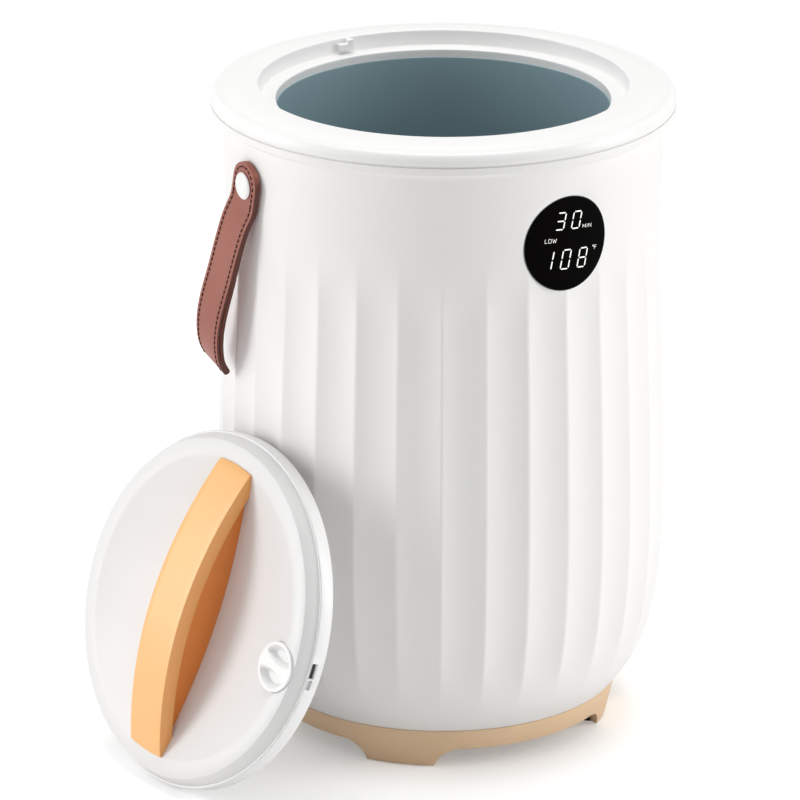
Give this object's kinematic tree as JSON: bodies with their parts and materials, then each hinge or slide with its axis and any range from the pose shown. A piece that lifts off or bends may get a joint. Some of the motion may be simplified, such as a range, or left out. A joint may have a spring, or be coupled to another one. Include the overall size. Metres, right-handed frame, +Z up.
{
  "type": "bucket towel warmer",
  "caption": "Fluted round bucket towel warmer with a footed base ring, round touch display, leather strap loops, heated liner and a lifted-off lid with an arched handle.",
  "frame": {"origin": "on the bucket's own axis at floor level, under the middle of the base ring", "axes": "+Z up; -Y towards the display; +X to the right seen from the display side; the lid leans against the -X side"},
  "size_m": [0.4228, 0.32, 0.4599],
  "materials": {
    "white_plastic": "satin",
    "white_gloss": "semi-gloss",
    "tan_plastic": "satin",
    "teal_coating": "semi-matt non-stick coating",
    "steel": "zinc plated",
    "rubber_pad": "matt",
    "rubber_seal": "silicone",
    "foil": "foil",
    "felt": "felted fibre",
    "ceramic_white": "glazed",
    "black_gloss": "polished touch panel",
    "lit_white": "lit",
    "black_plastic": "fine texture",
    "board_green": "solder mask",
    "cable_grey": "insulated wire",
    "capacitor_yellow": "epoxy",
    "brass_pin": "plated",
    "brown_leather": "smooth grain, dark edges",
    "thread": "waxed thread",
    "orange_handle": "satin"
  },
  "bodies": {
    "bucket": {"outer_shell": "white_plastic", "top_rim": "white_plastic", "rim_screws": "steel", "inner_barrel": "teal_coating", "base_ring": "tan_plastic", "base_plate": "tan_plastic", "foot_pads": "rubber_pad", "plate_screws": "steel", "base_screws": "steel", "foil_heater": "foil", "insulation_wrap": "felt", "bottom_insulation": "felt", "thermostat": "steel", "thermal_fuse": "ceramic_white", "temperature_sensor": "steel", "display_lens": "black_gloss", "display_digits": "lit_white", "display_housing": "black_plastic", "display_board": "board_green", "display_cable": "cable_grey", "control_board": "board_green", "relay": "black_plastic", "filter_capacitor": "capacitor_yellow", "board_screws": "steel", "power_inlet": "black_plastic", "inlet_pins": "brass_pin", "inlet_leads": "cable_grey", "heater_leads": "cable_grey", "left_stud": "white_gloss", "right_stud": "white_gloss", "stud_nuts": "steel"},
    "lid": {"lid_cover": "white_gloss", "lid_skirt": "white_gloss", "lid_inner_plate": "white_plastic", "lid_seal": "rubber_seal", "lid_insulation": "felt", "lid_screws": "steel", "lid_handle": "orange_handle", "handle_screws": "steel", "fragrance_cup": "white_plastic", "fragrance_pad": "felt"},
    "cap": {"fragrance_cap": "white_gloss"},
    "left_loop": {"left_strap": "brown_leather", "left_stitching": "thread"},
    "right_loop": {"right_strap": "brown_leather", "right_stitching": "thread"}
  },
  "joints": [
    {"name": "lid_lift", "type": "slide", "parent": "bucket", "child": "lid", "axis": [-0.9443, -0.0868, 0.3173], "range_m": [0, 0.25]},
    {"name": "cap_turn", "type": "hinge", "parent": "lid", "child": "cap", "pos_m": [-0.20997, -0.11416, 0.11285], "axis": [-0.9443, -0.0868, 0.3173], "range_deg": [0, 90]},
    {"name": "left_loop_swing", "type": "hinge", "parent": "bucket", "child": "left_loop", "pos_m": [-0.15426, 0.00862, 0.4097], "axis": [0.9984, -0.0558, 0], "range_deg": [-95, 64]},
    {"name": "right_loop_swing", "type": "hinge", "parent": "bucket", "child": "right_loop", "pos_m": [0.15426, 0.00862, 0.4097], "axis": [0.9984, 0.0558, 0], "range_deg": [-95, 64]}
  ]
}
